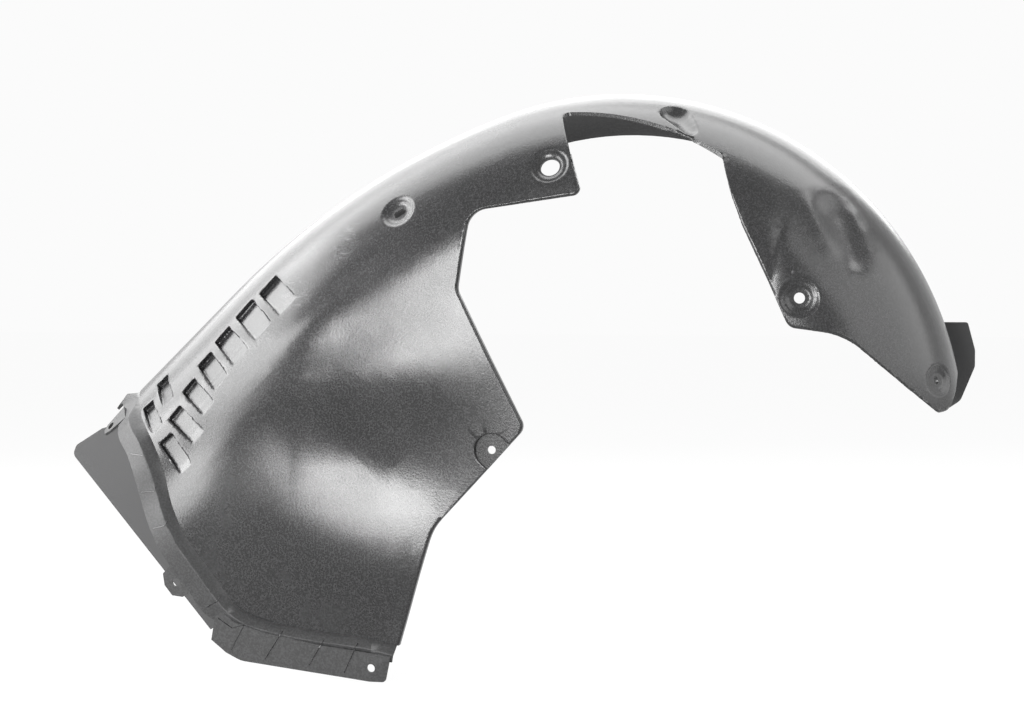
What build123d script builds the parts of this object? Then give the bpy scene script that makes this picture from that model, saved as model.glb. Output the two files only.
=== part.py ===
"""Front wheel arch liner for the right-hand side of a car: one vacuum-formed plastic sheet.

Frame: origin at the wheel centre, +X to the rear of the car, +Y outboard, +Z up, millimetres.
The sheet is described by its outer skin, the side that faces the body shell.
A place on the rounded shoulder is given by its distance along the arch, forward of the join between
the round arch and the front sweep, and by its turn in degrees: 0 at the crest, 90 at the side wall.
"""
import os
from math import acos, asin, cos, degrees, radians, sin

from build123d import *

SHEET = 3.0                  # thickness of the formed sheet
SKIN_BITE = 1.0              # how far an added wall starts below the skin
CLEAR = 15.0                 # how far a pressing tool stands out of the skin
FAR = 400.0                  # longer than any cut

# arch over the wheel
ARCH_RADIUS = 360.0          # crest of the round part, about the wheel axis
ARCH_FRONT = 110.0           # angle where the round part runs into the front sweep
ARCH_REAR = 2.0
SWEEP_RADIUS = 830.0
LEG_ANGLE = 134.5            # the way that the straight front leg faces
LEG_LENGTH = 145.0           # along the crest, to the end of the tread
LEG_SPARE = 90.0             # the side wall runs on further down

# section of the sheet
SIDE_Y = -125.0              # inboard side wall
SHOULDER = 133.0             # radius between side wall and tread
ROLL_Y = 30.0                # where the tread starts to roll down to the lip
LIP_Y = 105.0                # outboard lip
LIP_DROP = 34.0
REAR_SIDE = 190.0            # side wall reach below the crest, before trimming
FRONT_SIDE = 460.0

# strut opening, seen along the wheel axis: x, z and corner radius
STRUT_TOP_Z = ARCH_RADIUS - 70
STRUT_FRONT = [
    (-23, STRUT_TOP_Z - 40, 8), (-138, STRUT_TOP_Z - 56, 22), (-150, STRUT_TOP_Z - 136, 15), (-80, 14, 12),
    (-175, -90, 55), (-258, -375),
]
STRUT_REAR = [
    (ARCH_RADIUS + 90, -375), (ARCH_RADIUS + 90, 76), (ARCH_RADIUS - 6, 76), (ARCH_RADIUS - 10, 50, 40),
    (ARCH_RADIUS - 17, 33, 11), (ARCH_RADIUS - 28, 30, 9), (238, STRUT_TOP_Z - 180, 70),
    (184, STRUT_TOP_Z - 173, 12), (164, STRUT_TOP_Z - 128, 60), (138, STRUT_TOP_Z - 72, 60),
    (126, STRUT_TOP_Z - 40), (-34, STRUT_TOP_Z),
]
CROWN = [
    (-23, STRUT_TOP_Z - 40), (126, STRUT_TOP_Z - 40), (120, STRUT_TOP_Z - 18, 30), (114, STRUT_TOP_Z + 6, 22),
    (20, ARCH_RADIUS + 40), (-72, ARCH_RADIUS + 40),
]
CROWN_Y = -71.0              # depth of the opening at the crown
CROWN_SLANT = 11.0
CROWN_CORNER = 7.0
HEM = 8.0                    # turned-in edge round the opening

# raised flange round the front end: its foot seen along the wheel axis, from the end of the tread
FLANGE_FOOT = [
    (2, -9), (20, -29), (44, -61), (61, -105), (79, -145), (120, -201), (145, -228), (174, -239),
    (234, -249), (312, -260),
]
FLANGE_STATIONS = 17
FLANGE_RUN_OUT = 30.0        # trim carried on past the flange
RIDGE_OUT = 9.0
RIDGE_HEIGHT = 9.0
STRIP_WIDTH = 20.0
STRIP_SAG = 3.0
BOTTOM_LAP = 8.0             # strip under the bottom plate
BOTTOM_FROM = 0.62           # where the bottom plate takes over, along the foot
BOTTOM_STEP = 0.6            # plate below the ridge's crest
BOTTOM_PLATE = [
    (119, -235), (117, -247), (115, -259), (131, -272), (147, -280, 25), (211, -288), (284, -297, 20),
    (301, -297, 4), (307, -270), (232, -261), (172, -250), (140, -240), (126, -229),
]
BOTTOM_HOLE = (286, -283)
FRONT_FLAP = [
    (77, 28), (-36, -27), (-76, -53), (-96, -59, 6), (-128, -79, 8), (-132, -90, 8), (35, -292),
    (46, -285), (54, -109), (24, -41),
]
# tabs on the flange: place along its foot, half length, reach, hole reach
TABS = [(0.035, 8, 47, 37), (0.46, 16, 46, 34)]

# flat tab at the rear end of the lip
REAR_TAB = [
    (ARCH_RADIUS - 61, 118), (ARCH_RADIUS + 8, 118, 3), (ARCH_RADIUS + 16, 88, 12), (ARCH_RADIUS + 16, 70, 12),
    (ARCH_RADIUS + 1, 33, 12), (ARCH_RADIUS - 15, 22, 6), (ARCH_RADIUS - 30, 44), (ARCH_RADIUS - 44, 60),
]

# fixing pads pressed into the shoulder: along, turn, length, width, hole length, hole width
PADS = [
    (-53, 63.7, 38, 38, 20, 20),
    (133, 54.1, 34, 34, 14, 8),
    (-459, 82.7, 36, 36, 11, 11),
    (-623, 32.6, 30, 44, 8, 8),
]
PAD_RIM = 2.6                # depth of the outer step
PAD_DEPTH = 4.5              # depth of the middle
PAD_MIDDLE = 0.68            # size of the middle against the whole pad
EDGE_PAD = (-115, -9)        # pad open to the edge of the front lobe
EDGE_PAD_ANGLE = -42.3
EDGE_PAD_RADIUS = 17.0
EDGE_PAD_DEPTH = 5.0
CLIP_HOLE = 8.5              # plain fixing holes

# louvre recesses: along and turn of the deep end, along and turn of the shallow end, width
LOUVRES = [
    (306, 41, 295, 62.5, 26), (343, 41.7, 336, 63.4, 26), (379, 44, 374, 64.4, 23), (410, 47.6, 408, 66, 21),
    (441, 52.5, 436, 70.3, 19), (470, 58, 465, 76.5, 19), (495, 64.3, 499, 83, 17),
    (467, 32.6, 470, 51.3, 16), (493, 40.4, 496, 58, 15),
]
LOUVRE_DEPTH = 6.0

# long dents: along, turn, ball radius and depth at one end, then at the other
DENTS = [
    ((-195, 31, 19, 10), (-217, 41, 11, 4.5)),
    ((-407, 42, 60, 7), (-452, 50, 54, 6)),
]
PRESS_DEPTH = 16.0           # deepest that any pressing reaches below the skin

wheel_axis = Axis((0, 0, 0), (0, 1, 0))
sweep_length = SWEEP_RADIUS * radians(LEG_ANGLE - ARCH_FRONT)


def way_out(angle):
    """Direction away from the wheel at an angle."""
    return Vector(cos(radians(angle)), 0, sin(radians(angle)))


sweep_centre = way_out(ARCH_FRONT) * (ARCH_RADIUS - SWEEP_RADIUS)
leg_forward = way_out(LEG_ANGLE + 90)
leg_start = sweep_centre + way_out(LEG_ANGLE) * SWEEP_RADIUS
front_plane = Plane(leg_start + leg_forward * LEG_LENGTH, x_dir=(1, 0, 0), z_dir=(0, -1, 0))


def crest(along):
    """Point of the crest line and the angle that the arch faces there."""
    if along <= 0:
        angle = ARCH_FRONT + degrees(along / ARCH_RADIUS)
        return way_out(angle) * ARCH_RADIUS, angle
    if along <= sweep_length:
        angle = ARCH_FRONT + degrees(along / SWEEP_RADIUS)
        return sweep_centre + way_out(angle) * SWEEP_RADIUS, angle
    return leg_start + leg_forward * (along - sweep_length), LEG_ANGLE


def on_skin(along, turn):
    """Plane on the shoulder's skin: x to the rear along the arch, z out of the sheet."""
    base, angle = crest(along)
    out = way_out(angle)
    inboard = Vector(0, -1, 0)
    normal = out * cos(radians(turn)) + inboard * sin(radians(turn))
    point = base + (normal - out) * SHOULDER + Vector(0, SIDE_Y + SHOULDER, 0)
    return Plane(point, x_dir=way_out(angle - 90), z_dir=normal)


def skin_at(x, z):
    """Plane on the front leg's skin at a point seen along the wheel axis."""
    reach = Vector(x, 0, z) - leg_start
    height = reach.dot(way_out(LEG_ANGLE))
    if height > -SHOULDER:
        return on_skin(sweep_length + reach.dot(leg_forward), degrees(acos(min(1.0, 1 + height / SHOULDER))))
    return Plane((x, SIDE_Y, z), x_dir=leg_forward * -1, z_dir=(0, -1, 0))


def section(plane, top, bottom, side):
    """Cross-section of a layer of the sheet, on a plane with x away from the wheel and y outboard."""
    roll_radius = ((LIP_Y - ROLL_Y) ** 2 + LIP_DROP**2) / (2 * LIP_DROP)
    sweep = acos((roll_radius - LIP_DROP) / roll_radius)
    with BuildSketch(plane) as sketch:
        with BuildLine():
            ends = []
            for depth in (top, bottom):
                roll = roll_radius - depth
                wall = Line((-side, SIDE_Y + depth), (-SHOULDER, SIDE_Y + depth))
                bend = RadiusArc(wall @ 1, (-depth, SIDE_Y + SHOULDER), depth - SHOULDER)
                tread = Line(bend @ 1, (-depth, ROLL_Y))
                lip = (roll * cos(sweep) - roll_radius, ROLL_Y + roll * sin(sweep))
                rolled = RadiusArc(tread @ 1, lip, -roll)
                ends.append((wall @ 0, rolled @ 1))
            Line(ends[0][0], ends[1][0])
            Line(ends[0][1], ends[1][1])
        make_face()
    return sketch.sketch


def sheet_layer(top, bottom):
    """Layer of the sheet between two depths below the skin: round arch, front sweep and straight leg."""
    join = way_out(ARCH_FRONT)
    arch_plane = Plane(join * ARCH_RADIUS, x_dir=join, z_dir=way_out(ARCH_FRONT + 90))
    leg_plane = Plane(leg_start, x_dir=way_out(LEG_ANGLE), z_dir=leg_forward)
    with BuildPart() as layer:
        add(section(arch_plane, top, bottom, REAR_SIDE))
        revolve(axis=wheel_axis, revolution_arc=ARCH_FRONT - ARCH_REAR)
        add(section(arch_plane, top, bottom, FRONT_SIDE))
        revolve(axis=Axis(sweep_centre, (0, -1, 0)), revolution_arc=LEG_ANGLE - ARCH_FRONT)
        add(section(leg_plane, top, bottom, FRONT_SIDE))
        extrude(amount=LEG_LENGTH + LEG_SPARE, dir=leg_forward)
    return layer.part


def outline(points, plane):
    """Closed outline; a third number rounds its corner."""
    with BuildSketch(plane) as sketch:
        with BuildLine():
            Polyline(*[point[:2] for point in points], close=True)
        make_face()
        for x, z, *radius in points:
            if radius:
                corner = sketch.vertices().sort_by_distance((x, z))[0]
                fillet(corner, radius[0])
    return sketch.sketch


def strut_prism(grow):
    """Strut opening under the arch, larger all round by a wall, straight through along the wheel axis."""
    with BuildPart() as prism:
        with BuildSketch(Plane.XZ):
            add(outline([*STRUT_FRONT, *STRUT_REAR], Plane.XY))
            if grow:
                offset(amount=grow)
        extrude(amount=FAR, both=True)
    return prism.part


def crown_prism():
    """Upper end of the strut opening, cut part way into the crown from the inboard side."""
    slant = radians(CROWN_SLANT)
    across = Vector(cos(slant), -sin(slant), 0)
    depth_plane = Plane((0, CROWN_Y, 0), x_dir=across, z_dir=(-sin(slant), -cos(slant), 0))
    with BuildPart() as prism:
        add(outline(CROWN, Plane.XZ))
        extrude(amount=FAR, dir=(0, -1, 0))
        split(bisect_by=depth_plane, keep=Keep.TOP)
        left = prism.edges().sort_by_distance(depth_plane.from_local_coords(Vector(-45, ARCH_RADIUS - 35)))[0]
        fillet(left, CROWN_CORNER)
    return prism.part


with BuildLine(front_plane):
    foot = Spline(*FLANGE_FOOT)


def foot_frame(place):
    """Plane on the skin at the flange's foot: x away from the sheet, z out of the skin."""
    here, before, after = [skin_at((foot @ at).X, (foot @ at).Z) for at in (place, place - 0.005, place + 0.005)]
    run = (after.origin - before.origin).normalized()
    return Plane(here.origin, x_dir=run.cross(here.z_dir), z_dir=here.z_dir)


def flange_section(place):
    """Inclined ridge wall and flat strip, across the flange."""
    frame = foot_frame(place)
    edge = RIDGE_OUT + (STRIP_WIDTH if place < BOTTOM_FROM else BOTTOM_LAP)
    with BuildSketch(Plane(frame.origin, x_dir=frame.x_dir, z_dir=frame.y_dir * -1)) as sketch:
        with BuildLine():
            Polyline(
                (-SHEET, -SHEET / 2),
                (RIDGE_OUT, RIDGE_HEIGHT),
                (edge, RIDGE_HEIGHT - STRIP_SAG),
                (edge, RIDGE_HEIGHT - STRIP_SAG - SHEET),
                (RIDGE_OUT + 0.4 * SHEET, RIDGE_HEIGHT - SHEET),
                (-SHEET / 2, -0.85 * SHEET),
                close=True,
            )
        make_face()
    return sketch.sketch


def louvre_recess(deep, shallow, width, wall):
    """Wedge recess with an upright wall at its deep end, larger all round by a wall."""
    run = deep.origin - shallow.origin
    normal = (deep.z_dir + shallow.z_dir).normalized()
    middle = (deep.origin + shallow.origin) * 0.5
    half = run.length / 2
    with BuildPart() as recess:
        with BuildSketch(Plane(middle, x_dir=run, z_dir=run.cross(normal))):
            with BuildLine():
                Polyline(
                    (half + wall, -LOUVRE_DEPTH - wall),
                    (half + wall, CLEAR),
                    (-half - 2 * wall, CLEAR),
                    (-half - 2 * wall, -1.5 * wall),
                    close=True,
                )
            make_face()
        extrude(amount=width / 2 + wall, both=True)
    return recess.part


def dent(start, end, wall):
    """Long dent with a round bottom and round ends, larger all round by a wall."""
    centres = []
    for along, turn, ball, depth in (start, end):
        frame = on_skin(along, turn)
        centres.append(frame.origin + frame.z_dir * (ball - depth))
    run = centres[1] - centres[0]
    taper = degrees(asin((start[2] - end[2]) / run.length))
    with BuildPart() as hollow:
        with BuildSketch(Plane(centres[0], x_dir=run, z_dir=run.cross(frame.z_dir))):
            with BuildLine():
                first = CenterArc((0, 0), start[2] + wall, 180, -90 - taper)
                last = CenterArc((run.length, 0), end[2] + wall, 90 - taper, taper - 90)
                Line(first @ 1, last @ 0)
                Line(last @ 1, first @ 0)
            make_face()
        revolve(axis=Axis(centres[0], run))
    return hollow.part


def pressed_forms(wall):
    """Pads, louvre recesses and dents, larger all round by a wall."""
    with BuildPart() as forms:
        for along, turn, length, width, *_ in PADS:
            for share, depth in ((1.0, PAD_RIM), (PAD_MIDDLE, PAD_DEPTH)):
                with BuildSketch(on_skin(along, turn).offset(-depth - wall)):
                    Ellipse(share * length / 2 + wall, share * width / 2 + wall)
                extrude(amount=depth + wall + CLEAR)
        for deep_along, deep_turn, along, turn, width in LOUVRES:
            add(louvre_recess(on_skin(deep_along, deep_turn), on_skin(along, turn), width, wall))
        for start, end in DENTS:
            add(dent(start, end, wall))
    return forms.part


with BuildPart() as hem:
    add(sheet_layer(SKIN_BITE, HEM))
    add(strut_prism(SHEET), mode=Mode.INTERSECT)

with BuildPart() as pressing_walls:
    add(pressed_forms(SHEET))
    add(sheet_layer(SKIN_BITE, PRESS_DEPTH), mode=Mode.INTERSECT)

edge_pad_plane = Plane((EDGE_PAD[0], SIDE_Y, EDGE_PAD[1]), x_dir=way_out(EDGE_PAD_ANGLE), z_dir=(0, -1, 0))
with BuildPart() as liner:
    add(sheet_layer(0, SHEET))
    add(hem.part)
    add(pressing_walls.part)
    with BuildSketch(edge_pad_plane.offset(-SKIN_BITE)):
        Circle(EDGE_PAD_RADIUS + SHEET)
        with Locations((EDGE_PAD_RADIUS, 0)):
            Rectangle(2 * EDGE_PAD_RADIUS, 2 * (EDGE_PAD_RADIUS + SHEET))
    extrude(amount=SKIN_BITE - EDGE_PAD_DEPTH - SHEET)
    # openings and front trim
    add(strut_prism(0), mode=Mode.SUBTRACT)
    add(crown_prism(), mode=Mode.SUBTRACT)
    foot_x, foot_z = FLANGE_FOOT[-1]
    with BuildSketch(front_plane):
        with BuildLine():
            Spline(*FLANGE_FOOT)
            Polyline(
                FLANGE_FOOT[-1],
                (foot_x + FLANGE_RUN_OUT, foot_z),
                (foot_x + FLANGE_RUN_OUT, -2 * FAR),
                (-FAR, -2 * FAR),
                (-FAR, FAR),
                FLANGE_FOOT[0],
            )
        make_face()
    extrude(amount=FAR, both=True, mode=Mode.SUBTRACT)
    add(pressed_forms(0), mode=Mode.SUBTRACT)
    with BuildSketch(edge_pad_plane.offset(-EDGE_PAD_DEPTH)):
        Circle(EDGE_PAD_RADIUS)
        with Locations((EDGE_PAD_RADIUS, 0)):
            Rectangle(2 * EDGE_PAD_RADIUS, 2 * EDGE_PAD_RADIUS)
    extrude(amount=FAR, mode=Mode.SUBTRACT)
    # front flange, its tabs and its bottom plate
    for i in range(FLANGE_STATIONS):
        add(flange_section(i / (FLANGE_STATIONS - 1)))
    loft()
    for place, half_length, reach, _ in TABS:
        with BuildSketch(foot_frame(place).offset(RIDGE_HEIGHT - STRIP_SAG)):
            with BuildLine():
                Polyline(
                    (RIDGE_OUT + 6, -half_length - 4),
                    (reach - 6, -half_length),
                    (reach, -half_length / 3),
                    (reach, half_length / 2),
                    (reach - 8, half_length),
                    (RIDGE_OUT + 6, half_length + 4),
                    close=True,
                )
            make_face()
        extrude(amount=-SHEET)
    add(outline(BOTTOM_PLATE, front_plane.offset(RIDGE_HEIGHT - BOTTOM_STEP - SIDE_Y)))
    extrude(amount=SHEET, dir=(0, 1, 0))
    # plates at the outboard lip
    for points, plane in ((FRONT_FLAP, front_plane), (REAR_TAB, Plane.XZ)):
        add(outline(points, plane.offset(-LIP_Y)))
        extrude(amount=SHEET, dir=(0, -1, 0))
    # fixing holes
    for along, turn, _, _, hole_length, hole_width in PADS:
        with BuildSketch(on_skin(along, turn)):
            if hole_length > hole_width:
                SlotOverall(hole_length, hole_width)
            else:
                Circle(hole_length / 2)
        extrude(amount=2 * CLEAR, both=True, mode=Mode.SUBTRACT)
    for place, _, _, hole_reach in TABS:
        with BuildSketch(foot_frame(place)):
            with Locations((hole_reach, 0)):
                Circle(CLIP_HOLE / 2)
        extrude(amount=2 * CLEAR, both=True, mode=Mode.SUBTRACT)
    for plane, place in ((Plane.XZ, EDGE_PAD), (front_plane, BOTTOM_HOLE)):
        with BuildSketch(plane.offset(-SIDE_Y)):
            with Locations(place):
                Circle(CLIP_HOLE / 2)
        extrude(amount=2 * CLEAR, both=True, mode=Mode.SUBTRACT)
liner.part.label = "wheel_arch_liner"

os.makedirs("parts", exist_ok=True)
export_step(liner.part, "parts/wheel_arch_liner.step")
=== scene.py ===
"""Studio scene for a black formed-plastic wheel arch liner, seen from its inboard side."""
import logging
import math
from dataclasses import dataclass
from enum import Enum

import bmesh
import bpy
from bmesh.types import BMEdge, BMesh, BMFace, BMVert
from bpy.types import Material, Node, NodeSocket, NodeTree, Object
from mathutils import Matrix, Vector
from mathutils.bvhtree import BVHTree
from mathutils.kdtree import KDTree


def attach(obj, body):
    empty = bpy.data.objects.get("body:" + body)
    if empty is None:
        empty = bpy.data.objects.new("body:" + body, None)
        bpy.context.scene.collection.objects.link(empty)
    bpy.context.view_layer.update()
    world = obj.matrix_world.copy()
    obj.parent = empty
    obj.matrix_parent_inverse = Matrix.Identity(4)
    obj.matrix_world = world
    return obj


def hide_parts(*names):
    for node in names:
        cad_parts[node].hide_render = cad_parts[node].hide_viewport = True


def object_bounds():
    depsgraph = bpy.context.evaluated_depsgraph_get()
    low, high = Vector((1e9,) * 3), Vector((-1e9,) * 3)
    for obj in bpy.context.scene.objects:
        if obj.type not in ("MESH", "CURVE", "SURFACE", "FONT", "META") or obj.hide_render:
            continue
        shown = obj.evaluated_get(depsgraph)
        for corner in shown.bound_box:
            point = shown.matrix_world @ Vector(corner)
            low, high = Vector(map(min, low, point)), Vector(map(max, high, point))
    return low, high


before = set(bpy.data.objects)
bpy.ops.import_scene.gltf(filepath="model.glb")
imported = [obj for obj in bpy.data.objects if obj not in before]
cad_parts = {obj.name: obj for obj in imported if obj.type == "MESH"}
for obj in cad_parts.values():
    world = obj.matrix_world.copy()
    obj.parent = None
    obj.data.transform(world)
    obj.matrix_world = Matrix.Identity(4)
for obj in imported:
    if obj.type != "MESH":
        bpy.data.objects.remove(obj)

CAD_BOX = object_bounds()
NODE = "wheel_arch_liner"
BODY = "root"
INNER_SIDE = "inner_side"
PLATE_SIDE = "plate_side"
ROUNDED = "rounded"
INBOARD = Vector((0.0, -1.0, 0.0))
TINY = 1e-6
MERGE = 2e-6
LOG = logging.getLogger("liner_scene")

Colour = tuple[float, float, float, float]
Place = tuple[float, float, float]


def make_piece(name: str, work: BMesh, material: Material) -> Object:
    """Turns a finished bmesh into an object at the origin.

    Args:
        name: Name of the object and of its mesh.
        work: The bmesh, which is freed.
        material: The finish.

    Returns:
        The object, linked to the scene.
    """
    mesh = bpy.data.meshes.new(name)
    work.to_mesh(mesh)
    work.free()
    mesh.materials.append(material)
    piece = bpy.data.objects.new(name, mesh)
    bpy.context.scene.collection.objects.link(piece)
    return piece


def tree_of(points: list[Vector]) -> KDTree:
    """Puts points into a search tree.

    Args:
        points: The points.

    Returns:
        The tree, which gives a point's index in the list.
    """
    tree = KDTree(len(points))
    for i, point in enumerate(points):
        tree.insert(point, i)
    tree.balance()
    return tree


def feed(tree: NodeTree, value: NodeSocket | float | Colour, socket: NodeSocket) -> None:
    """Gives a value to a node's input.

    Args:
        tree: The node tree.
        value: Another node's output, or a constant.
        socket: The input.
    """
    if isinstance(value, NodeSocket):
        tree.links.new(value, socket)
    else:
        socket.default_value = value


def join_values(
    tree: NodeTree, operation: str, first: NodeSocket, second: NodeSocket | float
) -> NodeSocket:
    """Joins two values of a node tree.

    Args:
        tree: The node tree.
        operation: The math node's operation.
        first: One value.
        second: The other value, or a constant.

    Returns:
        The joined value.
    """
    node = tree.nodes.new("ShaderNodeMath")
    node.operation = operation
    feed(tree, first, node.inputs[0])
    feed(tree, second, node.inputs[1])
    return node.outputs["Value"]


def map_range(
    tree: NodeTree,
    value: NodeSocket,
    start: tuple[float, float],
    end: tuple[float, float] = (0.0, 1.0),
    kind: str = "LINEAR",
) -> NodeSocket:
    """Maps a value of a node tree from one range to another.

    Args:
        tree: The node tree.
        value: The value.
        start: The range that it has.
        end: The range that it gets.
        kind: How it runs from one end to the other.

    Returns:
        The mapped value.
    """
    node = tree.nodes.new("ShaderNodeMapRange")
    node.interpolation_type = kind
    node.inputs["From Min"].default_value, node.inputs["From Max"].default_value = start
    node.inputs["To Min"].default_value, node.inputs["To Max"].default_value = end
    tree.links.new(value, node.inputs["Value"])
    return node.outputs["Result"]


def mix_colours(
    tree: NodeTree, factor: NodeSocket, first: NodeSocket | Colour, second: Colour
) -> NodeSocket:
    """Mixes two colours of a node tree.

    Args:
        tree: The node tree.
        factor: Share of the second colour.
        first: The first colour.
        second: The second colour.

    Returns:
        The mixed colour.
    """
    node = tree.nodes.new("ShaderNodeMix")
    node.data_type = "RGBA"
    feed(tree, factor, node.inputs["Factor"])
    feed(tree, first, node.inputs["A"])
    feed(tree, second, node.inputs["B"])
    return node.outputs["Result"]


class Zone(Enum):
    """Part of the sheet's cross-section."""

    WALL = "wall"
    SHOULDER = "shoulder"
    TREAD = "tread"
    ROLL = "roll"


@dataclass(frozen=True)
class SkinPlace:
    """Where a point lies on the sheet.

    Attributes:
        zone: Part of the cross-section.
        depth: Depth below the skin.
        normal: Way out of the skin.
    """

    zone: Zone
    depth: float
    normal: Vector


@dataclass(frozen=True)
class ArchForm:
    """The skin of the sheet as a formula: round arch, front sweep and straight leg.

    Attributes:
        arch_radius: Radius of the round arch at its crest.
        arch_front: Angle at which the arch runs into the sweep.
        sweep_radius: Radius of the front sweep at its crest.
        leg_angle: Angle at which the sweep runs into the leg.
        side_y: Place of the side wall.
        shoulder: Radius of the shoulder.
        roll_y: Place where the tread starts to roll over.
        lip_y: Place of the outboard lip.
        lip_drop: How far the lip lies below the crest.
    """

    arch_radius: float = 0.360
    arch_front: float = math.radians(110.0)
    sweep_radius: float = 0.830
    leg_angle: float = math.radians(134.5)
    side_y: float = -0.125
    shoulder: float = 0.133
    roll_y: float = 0.030
    lip_y: float = 0.105
    lip_drop: float = 0.034

    @staticmethod
    def way_out(angle: float) -> Vector:
        """Direction away from the wheel at an angle."""
        return Vector((math.cos(angle), 0.0, math.sin(angle)))

    @property
    def sweep_centre(self) -> Vector:
        """Centre of the front sweep."""
        return self.way_out(self.arch_front) * (self.arch_radius - self.sweep_radius)

    @property
    def sweep_length(self) -> float:
        """Length of the front sweep along the crest."""
        return (self.leg_angle - self.arch_front) * self.sweep_radius

    @property
    def leg_start(self) -> Vector:
        """Point of the crest where the sweep runs into the straight leg."""
        return self.sweep_centre + self.way_out(self.leg_angle) * self.sweep_radius

    @property
    def roll_radius(self) -> float:
        """Radius of the rolled outboard edge."""
        width = self.lip_y - self.roll_y
        return (width**2 + self.lip_drop**2) / (2 * self.lip_drop)

    def above_crest(self, point: Vector) -> tuple[float, Vector]:
        """Finds how high a point lies above the crest line.

        Args:
            point: A point in the part's frame.

        Returns:
            Height above the crest line, and the way out there.
        """
        flat = Vector((point.x, 0.0, point.z))
        if flat.dot(self.way_out(self.arch_front + math.pi / 2)) <= 0.0:
            return flat.length - self.arch_radius, flat.normalized()
        reach = flat - self.sweep_centre
        angle = math.atan2(reach.z, reach.x)
        if angle < 0.0:
            angle += 2 * math.pi
        if angle <= self.leg_angle:
            return reach.length - self.sweep_radius, reach.normalized()
        out = self.way_out(self.leg_angle)
        return (flat - self.leg_start).dot(out), out

    def locate(self, point: Vector) -> SkinPlace:
        """Finds a point's place on the sheet.

        Args:
            point: A point in the part's frame.

        Returns:
            Its place on the sheet.
        """
        height, out = self.above_crest(point)
        corner = self.side_y + self.shoulder
        if point.y > self.roll_y:
            rise, run = height + self.roll_radius, point.y - self.roll_y
            radius = math.hypot(rise, run)
            normal = (out * rise - INBOARD * run) / radius
            return SkinPlace(Zone.ROLL, self.roll_radius - radius, normal)
        if point.y > corner:
            return SkinPlace(Zone.TREAD, -height, out)
        if height > -self.shoulder:
            rise, run = height + self.shoulder, corner - point.y
            radius = max(TINY, math.hypot(rise, run))
            normal = (out * rise + INBOARD * run) / radius
            return SkinPlace(Zone.SHOULDER, self.shoulder - radius, normal)
        return SkinPlace(Zone.WALL, point.y - self.side_y, INBOARD)

    def crest(self, along: float) -> tuple[Vector, Vector]:
        """Finds a point of the crest line.

        Args:
            along: Distance along the arch, forward of the join of arch and sweep.

        Returns:
            The point and the way out there.
        """
        if along <= 0.0:
            out = self.way_out(self.arch_front + along / self.arch_radius)
            return out * self.arch_radius, out
        if along <= self.sweep_length:
            out = self.way_out(self.arch_front + along / self.sweep_radius)
            return self.sweep_centre + out * self.sweep_radius, out
        forward = self.way_out(self.leg_angle + math.pi / 2)
        return self.leg_start + forward * (along - self.sweep_length), self.way_out(self.leg_angle)

    def on_shoulder(self, along: float, turn: float) -> tuple[Vector, Vector]:
        """Finds a point of the shoulder's skin.

        Args:
            along: Distance along the arch, forward of the join of arch and sweep.
            turn: Turn round the shoulder in degrees, 0 at the crest and 90 at the side wall.

        Returns:
            The point and the way out of the skin there.
        """
        base, out = self.crest(along)
        normal = out * math.cos(math.radians(turn)) + INBOARD * math.sin(math.radians(turn))
        return base + (normal - out) * self.shoulder - INBOARD * (self.side_y + self.shoulder), normal


@dataclass(frozen=True)
class Swell:
    """A broad soft swelling or hollow left by the forming, seen along the wheel axis.

    Attributes:
        x: Centre, along the car.
        z: Centre, upwards.
        length: Half length.
        width: Half width.
        tilt: Turn of its length above the X axis, in degrees.
        rise: Height out of the skin, negative for a hollow.
    """

    x: float
    z: float
    length: float
    width: float
    tilt: float
    rise: float

    def height(self, x: float, z: float) -> float:
        """Finds the height that this swelling adds at a place seen along the wheel axis.

        Args:
            x: The place, along the car.
            z: The place, upwards.

        Returns:
            The height.
        """
        cos, sin = math.cos(math.radians(self.tilt)), math.sin(math.radians(self.tilt))
        u = ((x - self.x) * cos + (z - self.z) * sin) / self.length
        v = ((z - self.z) * cos - (x - self.x) * sin) / self.width
        return self.rise * math.exp(-u * u - v * v)


@dataclass(frozen=True)
class Region:
    """Space that a pressed form takes up.

    Attributes:
        middle: Its middle on the skin.
        normal: Way out of the skin there.
        run: Way along its length.
        half_length: Half length.
        half_width: Half width.
        fine: Cell size in it.
        depth_reach: How far above and below the skin its points may lie.
    """

    middle: Vector
    normal: Vector
    run: Vector
    half_length: float
    half_width: float
    fine: float
    depth_reach: float = 0.012

    @property
    def reach(self) -> float:
        """Distance from the middle to the furthest corner."""
        return math.hypot(self.half_length, self.half_width) + self.depth_reach

    def takes(self, point: Vector) -> bool:
        """Tells whether a point lies in the space.

        Args:
            point: The point.

        Returns:
            True if it does.
        """
        delta = point - self.middle
        flat = delta - self.normal * delta.dot(self.normal)
        along = flat.dot(self.run)
        across = (flat - self.run * along).length
        return abs(along) < self.half_length and across < self.half_width


@dataclass(frozen=True)
class Pressing:
    """A pressed form of the shoulder whose edges are softened.

    Attributes:
        start: Along and turn of one end of its middle line.
        end: Along and turn of the other end.
        half_width: Half width.
        passes: How often it is softened.
        margin: How far beyond its outline the softening goes.
        fine: Cell size in it.
    """

    start: tuple[float, float]
    end: tuple[float, float]
    half_width: float
    passes: int = 3
    margin: float = 0.003
    fine: float = 0.0020

    def region(self, form: ArchForm) -> Region:
        """Finds the space that the pressed form takes up on a skin.

        Args:
            form: The skin's formula.

        Returns:
            The space.
        """
        first, first_out = form.on_shoulder(*self.start)
        last, last_out = form.on_shoulder(*self.end)
        run = last - first
        return Region(
            middle=(first + last) / 2,
            normal=(first_out + last_out).normalized(),
            run=run.normalized(),
            half_length=run.length / 2 + self.margin,
            half_width=self.half_width + self.margin,
            fine=self.fine,
        )


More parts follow.
